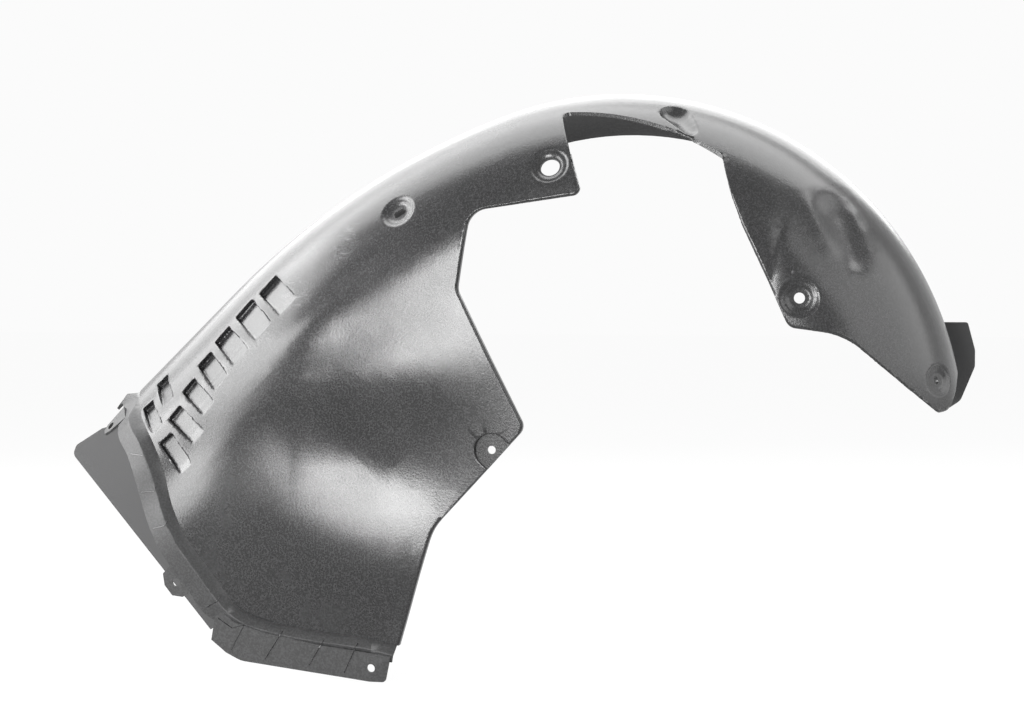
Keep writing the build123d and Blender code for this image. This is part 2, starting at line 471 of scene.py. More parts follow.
@dataclass(frozen=True)
class Pad:
    """A round fixing pad: two soft steps down from the skin to a flat middle.

    Attributes:
        along: Distance along the arch.
        turn: Turn round the shoulder, in degrees.
        length: Length along the arch.
        width: Width across it.
        rim: Depth of the outer step.
        depth: Depth of the middle.
        share: Size of the middle against the whole pad.
        soft: Half width of a step.
        fine: Cell size in it.
        slack: How far beyond a step, against the whole pad, a point still lies on it.
        half_sheet: How far below the outer side a point belongs to the inner side.
        least_facing: Least cosine between the skin and the pad's middle.
    """

    along: float
    turn: float
    length: float
    width: float
    rim: float = 0.0026
    depth: float = 0.0045
    share: float = 0.68
    soft: float = 0.0024
    fine: float = 0.0017
    slack: float = 0.02
    half_sheet: float = 0.0014
    least_facing: float = 0.5

    def region(self, form: ArchForm) -> Region:
        """Finds the space that the pad takes up on a skin.

        Args:
            form: The skin's formula.

        Returns:
            The space.
        """
        middle, normal = form.on_shoulder(self.along, self.turn)
        _, out = form.crest(self.along)
        return Region(
            middle=middle,
            normal=normal,
            run=Vector((out.z, 0.0, -out.x)),
            half_length=self.length / 2 + 2 * self.soft,
            half_width=self.width / 2 + 2 * self.soft,
            fine=self.fine,
        )

    def press(self, form: ArchForm, verts: list[BMVert]) -> None:
        """Sets the points of the pad's outer side on its soft steps.

        Args:
            form: The skin's formula.
            verts: Points of the mesh near the pad.
        """
        space = self.region(form)
        side = space.normal.cross(space.run)
        radius = (self.length + self.width) / 4
        for vert in verts:
            away = vert.co - space.middle
            height = away.dot(space.normal)
            reach = math.hypot(2 * away.dot(space.run) / self.length, 2 * away.dot(side) / self.width)
            place = form.locate(vert.co - space.normal * height)
            skin = -abs(place.depth / max(self.least_facing, place.normal.dot(space.normal)))
            floor = skin
            if reach < 1.0 + self.slack:
                floor = -self.depth if reach < self.share + self.slack else -self.rim
            if height < floor - self.half_sheet:
                continue
            level = skin
            level += (-self.rim - level) * self._step((1.0 - reach) * radius)
            level += (-self.depth - level) * self._step((self.share - reach) * radius)
            vert.co += space.normal * (level - height)

    def _step(self, inside: float) -> float:
        """Rises softly from 0 outside a step to 1 inside it."""
        share = min(1.0, max(0.0, 0.5 + 0.5 * inside / self.soft))
        return share * share * (3.0 - 2.0 * share)


@dataclass(frozen=True)
class Rim:
    """A point of a crisp edge of the outer skin.

    Attributes:
        point: Where it is.
        into: Way along the skin, away from the edge.
        down: Way along the wall, away from the edge.
        reach: How far from the edge its rounding starts.
        flatness: How far off the skin or the wall a point may lie.
        slack: The same, against the reach.
    """

    point: Vector
    into: Vector
    down: Vector
    reach: float
    flatness: float = 0.00025
    slack: float = 0.1

    def rounded(self, place: Vector) -> Vector:
        """Finds where a point of the skin or of the wall goes as the edge is rounded.

        Args:
            place: The point.

        Returns:
            Its new place, or the same place where the rounding does not reach it.
        """
        away = place - self.point
        aside, below = away.dot(self.into), away.dot(self.down)
        near = self.slack * self.reach
        if abs(below) < self.flatness + near * (aside > 0) and -near < aside < self.reach:
            share = 0.5 - 0.5 * max(0.0, aside) / self.reach
        elif abs(aside) < self.flatness + near and 0.0 < below < self.reach:
            share = 0.5 + 0.5 * below / self.reach
        else:
            return place
        rest = away - self.into * aside - self.down * below
        arc = self.into * (1.0 - share) ** 2 + self.down * share**2
        return self.point + rest + arc * self.reach


@dataclass(frozen=True)
class ScuffPlace:
    """A place where the sheet is rubbed.

    Attributes:
        middle: Its middle.
        reach: How far it goes.
    """

    middle: Place
    reach: float


@dataclass(frozen=True)
class SheetGrain:
    """Shared surface effect: fine pitting, cloudy gloss and rubbed places.

    Attributes:
        name: Name of the node group.
        core: Share of a rubbed place's reach in which it is fully rubbed.
        streak_tilt: Turn of the rub marks about the wheel axis, in degrees.
        streak_scale: Rub marks per metre along the three axes of their run.
        streak_range: Levels of the noise where a rub mark starts and where it is full.
        scuffs: The rubbed places.
    """

    name: str = "formed_sheet_grain"
    core: float = 0.2
    streak_tilt: float = 40.0
    streak_scale: Place = (70.0, 120.0, 420.0)
    streak_range: tuple[float, float] = (0.50, 0.70)
    scuffs: tuple[ScuffPlace, ...] = (
        ScuffPlace((-0.269, -0.095, 0.2105), 0.022),
        ScuffPlace((-0.278, -0.101, 0.195), 0.018),
        ScuffPlace((-0.332, -0.101, 0.153), 0.024),
        ScuffPlace((-0.3185, -0.111, 0.143), 0.018),
    )

    def build(self) -> NodeTree:
        """Makes the node group.

        Returns:
            The group, with inputs Grain Scale and Cloud Scale, and outputs Height, Cloud and Scuff.
        """
        group = bpy.data.node_groups.new(self.name, "ShaderNodeTree")
        for name in ("Grain Scale", "Cloud Scale"):
            group.interface.new_socket(name, in_out="INPUT", socket_type="NodeSocketFloat")
        for name in ("Height", "Cloud", "Scuff"):
            group.interface.new_socket(name, in_out="OUTPUT", socket_type="NodeSocketFloat")
        inputs = group.nodes.new("NodeGroupInput")
        outputs = group.nodes.new("NodeGroupOutput")
        place = group.nodes.new("ShaderNodeTexCoord").outputs["Object"]
        pits = self._noise(group, place, detail=3.0, roughness=0.6)
        group.links.new(inputs.outputs["Grain Scale"], pits.inputs["Scale"])
        group.links.new(pits.outputs["Fac"], outputs.inputs["Height"])
        cloud = self._noise(group, place, detail=4.0, roughness=0.55)
        group.links.new(inputs.outputs["Cloud Scale"], cloud.inputs["Scale"])
        group.links.new(cloud.outputs["Fac"], outputs.inputs["Cloud"])
        marks = self._streaks(group, place)
        rubbed = join_values(group, "MULTIPLY", self._rubbed(group, place), marks)
        group.links.new(rubbed, outputs.inputs["Scuff"])
        return group

    @staticmethod
    def _noise(tree: NodeTree, place: NodeSocket, detail: float, roughness: float) -> Node:
        """Adds a noise.

        Args:
            tree: The node tree.
            place: Where the noise is read.
            detail: How many finer layers it has.
            roughness: How strong the finer layers are.

        Returns:
            The noise node.
        """
        noise = tree.nodes.new("ShaderNodeTexNoise")
        noise.inputs["Detail"].default_value = detail
        noise.inputs["Roughness"].default_value = roughness
        tree.links.new(place, noise.inputs["Vector"])
        return noise

    def _streaks(self, tree: NodeTree, place: NodeSocket) -> NodeSocket:
        """Adds the fine marks that rubbing leaves.

        Args:
            tree: The node tree.
            place: Where they are read.

        Returns:
            A value that is 1 on a mark and 0 beside it.
        """
        stretch = tree.nodes.new("ShaderNodeMapping")
        stretch.inputs["Rotation"].default_value = (0.0, math.radians(self.streak_tilt), 0.0)
        stretch.inputs["Scale"].default_value = self.streak_scale
        tree.links.new(place, stretch.inputs["Vector"])
        streak = self._noise(tree, stretch.outputs["Vector"], detail=5.0, roughness=0.7)
        streak.inputs["Scale"].default_value = 1.0
        return map_range(tree, streak.outputs["Fac"], self.streak_range)

    def _rubbed(self, tree: NodeTree, place: NodeSocket) -> NodeSocket:
        """Adds the rubbed places.

        Args:
            tree: The node tree.
            place: Where they are read.

        Returns:
            A value that fades from 1 in the middle of a place to 0 at its end.
        """
        rubbed = None
        for scuff in self.scuffs:
            distance = tree.nodes.new("ShaderNodeVectorMath")
            distance.operation = "DISTANCE"
            distance.inputs[1].default_value = scuff.middle
            tree.links.new(place, distance.inputs[0])
            limits = (scuff.reach, scuff.reach * self.core)
            fade = map_range(tree, distance.outputs["Value"], limits, kind="SMOOTHSTEP")
            rubbed = fade if rubbed is None else join_values(tree, "MAXIMUM", rubbed, fade)
        return rubbed


@dataclass(frozen=True)
class SheetPlastic:
    """Black formed sheet: satin and finely grained outside, dull on the inner side.

    Attributes:
        name: Material name.
        dark: Base colour in the pits of the grain.
        light: Base colour on the tops of the grain.
        pale: Base colour where it is scuffed.
        worn: Base colour of the flat outboard plates.
        roughness: Least roughness of the outer side.
        spread: How much the roughness varies.
        dull: Roughness of the inner side.
        specular: Strength of its plain reflection.
        grain_scale: Grains per metre.
        grain_height: Depth of the grain, in metres.
        grain_strength: Share of that depth that is shown.
        grain_range: Levels of the grain that count as a pit and as a top.
        cloud_scale: Clouds of gloss per metre.
        cloud_range: Levels of a cloud that count as glossiest and as dullest.
    """

    name: str
    dark: Colour = (0.004, 0.004, 0.0042, 1.0)
    light: Colour = (0.018, 0.018, 0.0187, 1.0)
    pale: Colour = (0.065, 0.065, 0.066, 1.0)
    worn: Colour = (0.020, 0.020, 0.0206, 1.0)
    roughness: float = 0.20
    spread: float = 0.09
    dull: float = 0.55
    specular: float = 0.50
    grain_scale: float = 520.0
    grain_height: float = 0.00020
    grain_strength: float = 0.5
    grain_range: tuple[float, float] = (0.42, 0.62)
    cloud_scale: float = 9.0
    cloud_range: tuple[float, float] = (0.3, 0.7)

    def build(self, grain: NodeTree) -> Material:
        """Makes the material.

        Args:
            grain: The shared grain group.

        Returns:
            The material.
        """
        material = bpy.data.materials.new(self.name)
        material.use_nodes = True
        tree = material.node_tree
        shader = tree.nodes["Principled BSDF"]
        effect = tree.nodes.new("ShaderNodeGroup")
        effect.node_tree = grain
        effect.inputs["Grain Scale"].default_value = self.grain_scale
        effect.inputs["Cloud Scale"].default_value = self.cloud_scale
        tree.links.new(self._base_colour(tree, effect), shader.inputs["Base Color"])
        tree.links.new(self._dullness(tree, effect), shader.inputs["Roughness"])
        bump = tree.nodes.new("ShaderNodeBump")
        bump.inputs["Strength"].default_value = self.grain_strength
        bump.inputs["Distance"].default_value = self.grain_height
        tree.links.new(effect.outputs["Height"], bump.inputs["Height"])
        tree.links.new(bump.outputs["Normal"], shader.inputs["Normal"])
        shader.inputs["Specular IOR Level"].default_value = self.specular
        return material

    @staticmethod
    def _marked(tree: NodeTree, name: str) -> NodeSocket:
        """Adds a value that the mesh carries.

        Args:
            tree: The node tree.
            name: Name of the value.

        Returns:
            The value.
        """
        node = tree.nodes.new("ShaderNodeAttribute")
        node.attribute_name = name
        return node.outputs["Fac"]

    def _base_colour(self, tree: NodeTree, effect: Node) -> NodeSocket:
        """Adds the base colour: the grain, the worn plates and the rubbed places.

        Args:
            tree: The node tree.
            effect: The shared grain.

        Returns:
            The colour.
        """
        speck = map_range(tree, effect.outputs["Height"], self.grain_range)
        grains = mix_colours(tree, speck, self.dark, self.light)
        ground = mix_colours(tree, self._marked(tree, PLATE_SIDE), grains, self.worn)
        return mix_colours(tree, effect.outputs["Scuff"], ground, self.pale)

    def _dullness(self, tree: NodeTree, effect: Node) -> NodeSocket:
        """Adds the roughness: cloudy on the outer side, even on the inner side.

        Args:
            tree: The node tree.
            effect: The shared grain.

        Returns:
            The roughness.
        """
        limits = (self.roughness, self.roughness + self.spread)
        gloss = map_range(tree, effect.outputs["Cloud"], self.cloud_range, limits)
        sides = tree.nodes.new("ShaderNodeMix")
        sides.inputs["B"].default_value = self.dull
        tree.links.new(self._marked(tree, INNER_SIDE), sides.inputs["Factor"])
        tree.links.new(gloss, sides.inputs["A"])
        return sides.outputs["Result"]


@dataclass
class LinerShell:
    """The whole liner: the CAD sheet with the soft edges and soft forms of a formed part.

    Attributes:
        form: The skin's formula.
        sheet: Thickness of the sheet.
        cell: Largest cell of the mesh.
        cell_shift: How far the cuts between the cells are set back, clear of the CAD edges.
        refinements: How often the mesh is refined towards the fine cells.
        stretch: Longest edge of a fine cell against its size.
        snap: How near to a skin a point is set exactly on it.
        skin_slack: How far off the outer skin a point still counts as on it.
        sharp: Smallest angle of an edge that is rounded, in degrees.
        skin_facing: Least cosine between the way out and the skin at such an edge.
        wall_facing: Largest cosine between the way out and the wall at such an edge.
        crest_height: Least height above the skin of an edge of the flange that is rounded.
        crest_angle: Largest angle of such an edge of the flange, in degrees.
        crest_facing: Least cosine between the way out and both sides of it.
        crease: Smallest angle of an edge that is shaded crisp, in degrees.
        soft_crease: The same at a rounded edge, in degrees.
        hem_depth: Least depth of a wall that counts as a turned edge.
        hem_round: Radius of a turned edge.
        edge_round: Radius of a plain trimmed edge.
        finest: Smallest cell along the rounded edges.
        rim_step: Distance between the points of a rounded edge.
        rim_stride: Which of those points the fine cells follow, as every third.
        rim_cells: How far the fine cells go from such a point, against the radius.
        rim_near: How far the rounding goes from such a point, against the radius.
        soften_share: How far one softening moves a point towards its neighbours.
        swell_end: Where the broad soft forms end, outboard.
        swell_fade: Width over which they fade.
        plate_y: Inboard end of the flat outboard plates.
        inner_facing: Largest cosine between the way out and the inner side.
        inner_wear: How worn the inner side is against the plates.
        flange_dull: How dull the flange is against the inner side.
        flange_foot: Least height of the flange above the skin.
        pads: Round fixing pads.
        pressings: Other pressed forms, which are softened.
        swells: Broad soft forms of the side.
    """

    form: ArchForm = ArchForm()
    sheet: float = 0.003
    cell: float = 0.022
    cell_shift: float = 0.0013
    refinements: int = 5
    stretch: float = 1.4
    snap: float = 0.00035
    skin_slack: float = 0.0006
    sharp: float = 40.0
    skin_facing: float = 0.8
    wall_facing: float = 0.5
    crest_height: float = 0.003
    crest_angle: float = 70.0
    crest_facing: float = 0.3
    crease: float = 34.0
    soft_crease: float = 80.0
    hem_depth: float = 0.0070
    hem_round: float = 0.003
    edge_round: float = 0.001
    finest: float = 0.0012
    rim_step: float = 0.0006
    rim_stride: int = 3
    rim_cells: float = 1.2
    rim_near: float = 1.3
    soften_share: float = 0.5
    swell_end: float = 0.02
    swell_fade: float = 0.04
    plate_y: float = 0.100
    inner_facing: float = -0.5
    inner_wear: float = 0.35
    flange_dull: float = 0.9
    flange_foot: float = 0.001
    pads: tuple[Pad, ...] = (
        Pad(-0.053, 63.7, 0.038, 0.038),
        Pad(0.133, 54.1, 0.034, 0.034),
        Pad(-0.459, 82.7, 0.036, 0.036),
        Pad(-0.623, 32.6, 0.030, 0.044),
    )
    pressings: tuple[Pressing, ...] = (
        # Lower row of louvres, from the sweep down the leg.
        Pressing((0.306, 41.0), (0.295, 62.5), 0.013),
        Pressing((0.343, 41.7), (0.336, 63.4), 0.013),
        Pressing((0.379, 44.0), (0.374, 64.4), 0.0115),
        Pressing((0.410, 47.6), (0.408, 66.0), 0.0105),
        Pressing((0.441, 52.5), (0.436, 70.3), 0.0095),
        Pressing((0.470, 58.0), (0.465, 76.5), 0.0095),
        Pressing((0.495, 64.3), (0.499, 83.0), 0.0085),
        # Upper row of louvres.
        Pressing((0.467, 32.6), (0.470, 51.3), 0.008),
        Pressing((0.493, 40.4), (0.496, 58.0), 0.0075),
        # Scoop at the crown, then the hollow of the rear leg.
        Pressing((-0.186, 28.0), (-0.226, 44.0), 0.018),
        Pressing((-0.385, 38.0), (-0.474, 54.0), 0.028, passes=24, margin=0.011, fine=0.004),
    )
    swells: tuple[Swell, ...] = (
        # Front lobe.
        Swell(-0.266, -0.112, 0.136, 0.057, -18.0, 0.0086),
        Swell(-0.262, -0.018, 0.110, 0.038, -8.0, -0.0040),
        Swell(-0.309, -0.006, 0.012, 0.034, 0.0, 0.0016),
        Swell(-0.222, 0.004, 0.016, 0.036, 0.0, 0.0018),
        Swell(-0.215, 0.072, 0.100, 0.045, 8.0, 0.0065),
        Swell(-0.315, 0.054, 0.045, 0.011, 31.0, 0.0014),
        Swell(-0.312, 0.112, 0.050, 0.026, 40.0, 0.0035),
        Swell(-0.464, -0.046, 0.085, 0.036, 46.0, -0.0100),
        Swell(-0.219, -0.218, 0.030, 0.016, 68.0, 0.0030),
        # Rear leg.
        Swell(0.217, 0.208, 0.030, 0.009, -60.0, 0.0016),
        Swell(0.199, 0.214, 0.036, 0.012, -60.0, -0.0016),
        Swell(0.172, 0.194, 0.034, 0.0045, 81.0, -0.0012),
    )

    def build(self, material: Material) -> Object:
        """Makes the liner's visible piece.

        Args:
            material: The sheet's finish.

        Returns:
            The piece, riding on the body and standing for the CAD node.
        """
        work = bmesh.new()
        work.from_mesh(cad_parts[NODE].data)
        bmesh.ops.remove_doubles(work, verts=work.verts, dist=MERGE)
        regions = [pressed.region(self.form) for pressed in (*self.pads, *self.pressings)]
        rims = self._find_rims(work, regions)
        self._slice(work)
        self._refine(work, rims, regions)
        self._set_on_skin(work)
        self._soften(work)
        self._round_rims(work, rims)
        self._mark_sides(work)
        self._swell(work)
        bmesh.ops.dissolve_degenerate(work, dist=MERGE, edges=work.edges[:])
        bmesh.ops.triangulate(work, faces=work.faces[:])
        self._mark_creases(work)
        piece = make_piece("liner_shell", work, material)
        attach(piece, BODY)
        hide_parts(NODE)
        return piece

    def _find_rims(self, work: BMesh, regions: list[Region]) -> list[Rim]:
        """Finds the crisp edges of the outer skin and of the flange.

        Args:
            work: The CAD mesh.
            regions: Pressed forms, whose edges are left out.

        Returns:
            Points along the edges, close together.
        """
        rims: list[Rim] = []
        for edge in work.edges:
            if not edge.is_manifold or edge.calc_face_angle(0.0) < math.radians(self.sharp):
                continue
            middle = (edge.verts[0].co + edge.verts[1].co) / 2
            if any(region.takes(middle) for region in regions):
                continue
            out = self.form.locate(middle).normal
            wall, skin = sorted(edge.link_faces, key=lambda face: face.normal.dot(out))
            if self._is_rounded(edge, wall.normal.dot(out), skin.normal.dot(out)):
                rims += self._rims_along(edge, wall, skin)
        return rims

    def _is_rounded(self, edge: BMEdge, wall_out: float, skin_out: float) -> bool:
        """Tells whether a crisp edge is rounded.

        Args:
            edge: The edge.
            wall_out: Cosine between the way out and its wall.
            skin_out: Cosine between the way out and its skin.

        Returns:
            True for an outer edge of the skin and for a blunt crest of the flange.
        """
        if not edge.is_convex:
            return False
        depths = [self.form.locate(vert.co).depth for vert in edge.verts]
        blunt = edge.calc_face_angle() < math.radians(self.crest_angle)
        if max(depths) < -self.crest_height and blunt and wall_out > self.crest_facing:
            return True
        on_skin = max(abs(depth) for depth in depths) < self.skin_slack
        return on_skin and skin_out >= self.skin_facing and wall_out <= self.wall_facing

    def _rims_along(self, edge: BMEdge, wall: BMFace, skin: BMFace) -> list[Rim]:
        """Sets points close together along a crisp edge.

        Args:
            edge: The edge.
            wall: The face that goes down from it.
            skin: The face of the skin beside it.

        Returns:
            The points.
        """
        start, end = edge.verts[0].co, edge.verts[1].co
        depth = max(self.form.locate(vert.co).depth for vert in wall.verts)
        reach = self.hem_round if depth > self.hem_depth else self.edge_round
        run = (end - start).normalized()
        into, down = run.cross(skin.normal), run.cross(wall.normal)
        into *= 1.0 if into.dot(wall.normal) < 0.0 else -1.0
        down *= 1.0 if down.dot(skin.normal) < 0.0 else -1.0
        count = max(1, round((end - start).length / self.rim_step))
        return [Rim(start.lerp(end, i / count), into, down, reach) for i in range(count + 1)]

    def _slice(self, work: BMesh) -> None:
        """Cuts the large faces into small cells.

        Args:
            work: The mesh.
        """
        low, high = CAD_BOX
        for axis in range(3):
            normal = Vector([1.0 if i == axis else 0.0 for i in range(3)])
            count = int((high[axis] - low[axis]) / self.cell)
            for i in range(1, count + 1):
                geometry = work.verts[:] + work.edges[:] + work.faces[:]
                spot = normal * (low[axis] + i * self.cell - self.cell_shift)
                bmesh.ops.bisect_plane(work, geom=geometry, dist=TINY, plane_co=spot, plane_no=normal)
        bmesh.ops.triangulate(work, faces=work.faces[:])

    def _refine(self, work: BMesh, rims: list[Rim], regions: list[Region]) -> None:
        """Makes the cells smaller beside crisp edges and in pressed forms.

        Args:
            work: The mesh.
            rims: Points of the crisp edges.
            regions: Pressed forms.
        """
        for _ in range(self.refinements):
            sizes = self._cell_sizes(work, rims, regions)
            long_edges = []
            for edge in work.edges:
                size = min(sizes.get(vert.index, math.inf) for vert in edge.verts)
                if edge.calc_length() > self.stretch * size:
                    long_edges.append(edge)
            bmesh.ops.subdivide_edges(work, edges=long_edges, cuts=1)
            bmesh.ops.triangulate(work, faces=[face for face in work.faces if len(face.verts) > 3])

    def _cell_sizes(self, work: BMesh, rims: list[Rim], regions: list[Region]) -> dict[int, float]:
        """Finds the cell size at each point that lies where the cells are fine.

        Args:
            work: The mesh.
            rims: Points of the crisp edges.
            regions: Pressed forms.

        Returns:
            Cell sizes by the points' index.
        """
        work.verts.index_update()
        tree = tree_of([vert.co for vert in work.verts])
        sizes: dict[int, float] = {}
        for rim in rims[::self.rim_stride]:
            fine = max(self.finest, rim.reach / 2)
            for _, index, _ in tree.find_range(rim.point, rim.reach * self.rim_cells):
                sizes[index] = min(sizes.get(index, fine), fine)
        for region in regions:
            for spot, index, _ in tree.find_range(region.middle, region.reach):
                if region.takes(spot):
                    sizes[index] = min(sizes.get(index, region.fine), region.fine)
        return sizes

    def _set_on_skin(self, work: BMesh) -> None:
        """Sets points that lie on flat facets exactly on the sheet's two skins.

        Args:
            work: The mesh.
        """
        for vert in work.verts:
            place = self.form.locate(vert.co)
            if place.zone is Zone.WALL:
                continue
            for depth in (0.0, self.sheet):
                if abs(place.depth - depth) < self.snap:
                    vert.co += place.normal * (place.depth - depth)
                    break

    def _soften(self, work: BMesh) -> None:
        """Re-forms the pads and softens the other pressed forms, clear of the flange's foot.

        Args:
            work: The mesh.
        """
        axes = {f"use_axis_{axis}": True for axis in "xyz"}
        work.verts.ensure_lookup_table()
        tree = tree_of([vert.co for vert in work.verts])
        for pressed in (*self.pads, *self.pressings):
            region = pressed.region(self.form)
            near = tree.find_range(region.middle, region.reach)
            verts = [work.verts[index] for spot, index, _ in near if region.takes(spot)]
            if isinstance(pressed, Pad):
                pressed.press(self.form, verts)
                continue
            verts = [vert for vert in verts if self._is_clear(vert)]
            for _ in range(pressed.passes):
                bmesh.ops.smooth_vert(work, verts=verts, factor=self.soften_share, **axes)

    def _is_clear(self, vert: BMVert) -> bool:
        """Tells whether a point has no neighbour on the flange.

        Args:
            vert: The point.

        Returns:
            True if it has none.
        """
        ends = (end for edge in vert.link_edges for end in edge.verts)
        return all(self.form.locate(end.co).depth > -self.skin_slack for end in ends)

    def _round_rims(self, work: BMesh, rims: list[Rim]) -> None:
        """Rounds the crisp edges of the outer skin and of the flange.

        Args:
            work: The mesh.
            rims: Points of the crisp edges.
        """
        tree = tree_of([rim.point for rim in rims])
        rounded = work.verts.layers.int.new(ROUNDED)
        for vert in work.verts:
            _, index, distance = tree.find(vert.co)
            if distance < self.rim_near * rims[index].reach:
                vert[rounded] = 1
                vert.co = rims[index].rounded(vert.co)

    def _mark_sides(self, work: BMesh) -> None:
        """Marks how dull and how worn each point is: the inner side, the flange and the outboard plates.

        Args:
            work: The mesh.
        """
        inner = work.verts.layers.float.new(INNER_SIDE)
        plate = work.verts.layers.float.new(PLATE_SIDE)
        work.normal_update()
        for vert in work.verts:
            place = self.form.locate(vert.co)
            inward = vert.normal.dot(place.normal) < self.inner_facing
            flat = vert.co.y > self.plate_y
            vert[plate] = 1.0 if flat else self.inner_wear if inward else 0.0
            on_flange = place.depth < -self.flange_foot
            vert[inner] = 1.0 if flat or inward else self.flange_dull if on_flange else 0.0

    def _swell(self, work: BMesh) -> None:
        """Presses the broad soft forms into the inboard side.

        Args:
            work: The mesh.
        """
        for vert in work.verts:
            fade = min(1.0, max(0.0, (self.swell_end - vert.co.y) / self.swell_fade))
            if fade == 0.0:
                continue
            rise = sum(swell.height(vert.co.x, vert.co.z) for swell in self.swells)
            if abs(rise) > TINY:
                vert.co += self.form.locate(vert.co).normal * rise * fade

    def _mark_creases(self, work: BMesh) -> None:
        """Shades the sheet smooth, apart from its crisp edges.

        Args:
            work: The mesh.
        """
        limit, soft_limit = math.radians(self.crease), math.radians(self.soft_crease)
        rounded = work.verts.layers.int[ROUNDED]
        for face in work.faces:
            face.smooth = True
        for edge in work.edges:
            soft = all(vert[rounded] for vert in edge.verts)
            edge.smooth = edge.is_manifold and edge.calc_face_angle(0.0) < (soft_limit if soft else limit)
        work.verts.layers.int.remove(rounded)


@dataclass(frozen=True)
class Mark:
    """A short raised line on the flange, seen along the wheel axis.

    Attributes:
        points: Its course, as x and z.
        width: Width at its foot.
        height: Height above the sheet.
    """

    points: tuple[tuple[float, float], ...]
    width: float = 0.0012
    height: float = 0.0007


@dataclass
class FlangeMarks:
    """Fine raised lines that the forming tool left on the front flange.

    Attributes:
        marks: The lines.
        step: Distance between their points.
        sink: How deep they sit in the sheet.
        taper: Width of their top against their foot.
        look_from: Inboard place from which the sheet below a line is looked for.
        limit_y: Outboard limit of the flange.
    """

    marks: tuple[Mark, ...] = (
        Mark(((-0.5045, -0.0197), (-0.4879, -0.0208))),
        Mark(((-0.4889, -0.0590), (-0.4733, -0.0573), (-0.4728, -0.0533))),
        Mark(((-0.4738, -0.0962), (-0.4599, -0.0925), (-0.4572, -0.0884))),
        Mark(((-0.4143, -0.1764), (-0.4018, -0.1695), (-0.3998, -0.1649))),
        Mark(((-0.3514, -0.2286), (-0.3328, -0.1993))),
        Mark(((-0.3043, -0.2333), (-0.2886, -0.2071))),
        Mark(((-0.2671, -0.2403), (-0.2529, -0.2093))),
        Mark(((-0.4019, -0.1874), (-0.3869, -0.1974), (-0.3738, -0.1938), (-0.3881, -0.2204))),
    )
    step: float = 0.003
    sink: float = 0.0006
    taper: float = 0.5
    look_from: float = -0.4
    limit_y: float = -0.08

    def build(self, shell: Object, material: Material) -> Object:
        """Makes the lines.

        Args:
            shell: The liner that they lie on.
            material: The sheet's finish.

        Returns:
            The piece, riding on the body.
        """
        surface = shell.data
        tree = BVHTree.FromPolygons(
            [vert.co for vert in surface.vertices],
            [tuple(face.vertices) for face in surface.polygons],
        )
        work = bmesh.new()
        for mark in self.marks:
            self._bead(work, tree, mark)
        bmesh.ops.recalc_face_normals(work, faces=work.faces)
        piece = make_piece("flange_marks", work, material)
        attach(piece, BODY)
        return piece

    def _course(self, mark: Mark) -> list[tuple[float, float]]:
        """Sets points close together along a line.

        Args:
            mark: The line.

        Returns:
            The points, as x and z.
        """
        course = [mark.points[0]]
        for start, end in zip(mark.points, mark.points[1:]):
            count = max(1, round(math.dist(start, end) / self.step))
            for i in range(1, count + 1):
                share = i / count
                x, z = (a + (b - a) * share for a, b in zip(start, end))
                course.append((x, z))
        return course

    def _bead(self, work: BMesh, tree: BVHTree, mark: Mark) -> None:
        """Adds one raised line that follows the sheet.

        Args:
            work: The mesh that it joins.
            tree: The sheet's surface.
            mark: The line.
        """
        spots = []
        for x, z in self._course(mark):
            spot, out, _, _ = tree.ray_cast(Vector((x, self.look_from, z)), -INBOARD)
            if spot is not None and spot.y < self.limit_y:
                spots.append((spot, out))
        if len(spots) < 2:
            LOG.warning("a line at %s misses the sheet", mark.points[0])
            return
        first, out = spots[0]
        side = (spots[1][0] - first).cross(out).normalized()
        foot, top = mark.width / 2, mark.width / 2 * self.taper
        profile = ((-foot, -self.sink), (foot, -self.sink), (top, mark.height), (-top, mark.height))
        face = work.faces.new([work.verts.new(first + side * a + out * h) for a, h in profile])
        for (before, _), (after, _) in zip(spots, spots[1:]):
            grown = bmesh.ops.extrude_face_region(work, geom=[face])["geom"]
            verts = [item for item in grown if isinstance(item, BMVert)]
            face = next(item for item in grown if isinstance(item, BMFace))
            bmesh.ops.translate(work, verts=verts, vec=after - before)


@dataclass(frozen=True)
class Softbox:
    """A soft lamp.

    Attributes:
        name: Lamp's name.
        place: Where it stands.
        aim: Point that it faces.
        size: Width and height of its face.
        power: Light that it gives, in watts.
    """

    name: str
    place: Place
    aim: Place
    size: tuple[float, float]
    power: float

    def build(self) -> None:
        """Makes the lamp."""
        lamp = bpy.data.lights.new(self.name, "AREA")
        lamp.shape = "RECTANGLE"
        lamp.size, lamp.size_y = self.size
        lamp.energy = self.power
        piece = bpy.data.objects.new(self.name, lamp)
        piece.location = self.place
        piece.rotation_euler = (Vector(self.aim) - Vector(self.place)).to_track_quat("-Z", "Y").to_euler()
        piece.visible_camera = False
        bpy.context.scene.collection.objects.link(piece)


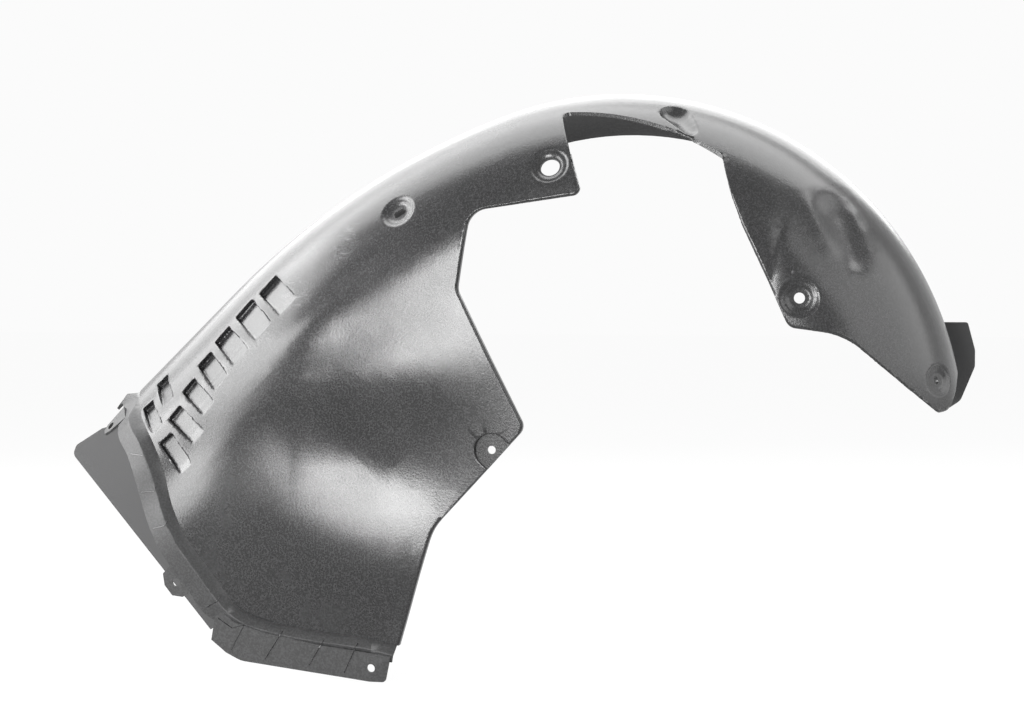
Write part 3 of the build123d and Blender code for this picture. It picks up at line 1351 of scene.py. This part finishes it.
@dataclass
class Studio:
    """Pale floor, white surround, soft lamps and the camera.

    Attributes:
        floor_z: Height of the floor.
        floor_size: Half the length of the floor's sides.
        floor_colour: Base colour of the floor.
        floor_roughness: Roughness of the floor.
        target: Point that the camera looks at.
        azimuth: Camera's turn round the part, in degrees.
        elevation: Camera's height above the horizon, in degrees.
        distance: Camera's distance from the target.
        lens: Focal length, in millimetres.
        sensor: Width of the camera's sensor, in millimetres.
        surround: Strength of the surround as a light.
        white: Strength of the surround as a background.
        glow: Share of the floor's white that no shadow falls on.
        lamps: The soft lamps.
    """

    floor_z: float = -0.2495
    floor_size: float = 12.0
    floor_colour: Colour = (0.8, 0.8, 0.8, 1.0)
    floor_roughness: float = 0.9
    target: Place = (-0.115, 0.0, 0.074)
    azimuth: float = 10.0
    elevation: float = 2.5
    distance: float = 2.150
    lens: float = 70.31
    sensor: float = 36.0
    surround: float = 0.2
    white: float = 0.965
    glow: float = 0.95
    lamps: tuple[Softbox, ...] = (
        Softbox("key_softbox", (-0.43, -2.25, 0.38), (-0.25, -0.12, -0.02), (0.8, 0.8), 44.0),
        Softbox("back_softbox", (-0.7, 1.6, 1.35), (-0.2, 0.0, 0.2), (4.2, 1.6), 66.0),
        Softbox("overhead_softbox", (-0.3, 0.35, 1.75), (-0.3, 0.30, 0.0), (4.0, 1.2), 75.0),
        Softbox("left_softbox", (-1.9, -0.16, 0.85), (-0.35, -0.05, 0.0), (1.3, 1.2), 40.0),
        Softbox("low_left_softbox", (-1.85, -1.10, 0.25), (-0.4, -0.1, -0.05), (1.2, 1.5), 66.0),
        Softbox("right_softbox", (1.9, -0.6, 0.9), (0.25, -0.05, 0.15), (3.2, 1.4), 34.0),
    )

    def build(self) -> None:
        """Makes the floor, the surround, the lamps and the camera."""
        self._floor()
        self._world()
        for lamp in self.lamps:
            lamp.build()
        self._camera()
        bpy.context.scene.view_settings.view_transform = "Standard"

    @staticmethod
    def _seen_rays(tree: NodeTree) -> NodeSocket:
        """Adds a value for what is seen straight on, in a reflection or through something clear.

        Args:
            tree: The node tree.

        Returns:
            The value, 1 on camera, glossy and transmission rays, and 0 on others.
        """
        path = tree.nodes.new("ShaderNodeLightPath")
        seen = path.outputs["Is Camera Ray"]
        for name in ("Is Glossy Ray", "Is Transmission Ray"):
            seen = join_values(tree, "MAXIMUM", seen, path.outputs[name])
        return seen

    def _floor(self) -> None:
        """Makes the pale floor."""
        work = bmesh.new()
        bmesh.ops.create_grid(work, x_segments=1, y_segments=1, size=self.floor_size)
        bmesh.ops.translate(work, verts=work.verts, vec=(0.0, 0.0, self.floor_z))
        floor = make_piece("floor", work, self._floor_finish())

    def _floor_finish(self) -> Material:
        """Makes the floor's finish, a matt grey that is seen as a white with faint shadows.

        Returns:
            The material.
        """
        material = bpy.data.materials.new("pale_floor")
        material.use_nodes = True
        tree = material.node_tree
        shader = tree.nodes["Principled BSDF"]
        shader.inputs["Base Color"].default_value = self.floor_colour
        shader.inputs["Roughness"].default_value = self.floor_roughness
        shader.inputs["Specular IOR Level"].default_value = 0.0
        glow = tree.nodes.new("ShaderNodeEmission")
        share = join_values(tree, "MULTIPLY", self._seen_rays(tree), self.glow)
        blend = tree.nodes.new("ShaderNodeMixShader")
        tree.links.new(share, blend.inputs["Fac"])
        tree.links.new(shader.outputs["BSDF"], blend.inputs[1])
        tree.links.new(glow.outputs["Emission"], blend.inputs[2])
        tree.links.new(blend.outputs["Shader"], tree.nodes["Material Output"].inputs["Surface"])
        return material

    def _world(self) -> None:
        """Makes the white surround, dimmer as a light than as a background."""
        world = bpy.data.worlds.new("white_surround")
        world.use_nodes = True
        tree = world.node_tree
        background = tree.nodes["Background"]
        background.inputs["Color"].default_value = (1.0, 1.0, 1.0, 1.0)
        strength = map_range(tree, self._seen_rays(tree), (0.0, 1.0), (self.surround, self.white))
        tree.links.new(strength, background.inputs["Strength"])
        bpy.context.scene.world = world

    def _camera(self) -> None:
        """Sets the camera at the photograph's angle."""
        turn, rise = math.radians(self.azimuth), math.radians(self.elevation)
        back = Vector((math.sin(turn) * math.cos(rise), -math.cos(turn) * math.cos(rise), math.sin(rise)))
        data = bpy.data.cameras.new("camera")
        data.lens = self.lens
        data.sensor_width = self.sensor
        data.sensor_fit = "HORIZONTAL"
        camera = bpy.data.objects.new("camera", data)
        camera.location = Vector(self.target) + back * self.distance
        camera.rotation_euler = (-back).to_track_quat("-Z", "Y").to_euler()
        bpy.context.scene.collection.objects.link(camera)
        bpy.context.scene.camera = camera


def main() -> None:
    """Builds the liner and the marks on it, then the studio round it."""
    logging.basicConfig(level=logging.INFO)
    plastic = SheetPlastic("black_sheet_plastic").build(SheetGrain().build())
    shell = LinerShell().build(plastic)
    LOG.info("%s: %d faces", shell.name, len(shell.data.polygons))
    marks = FlangeMarks().build(shell, plastic)
    LOG.info("%s: %d faces", marks.name, len(marks.data.polygons))
    Studio().build()


if __name__ == "__main__":
    main()
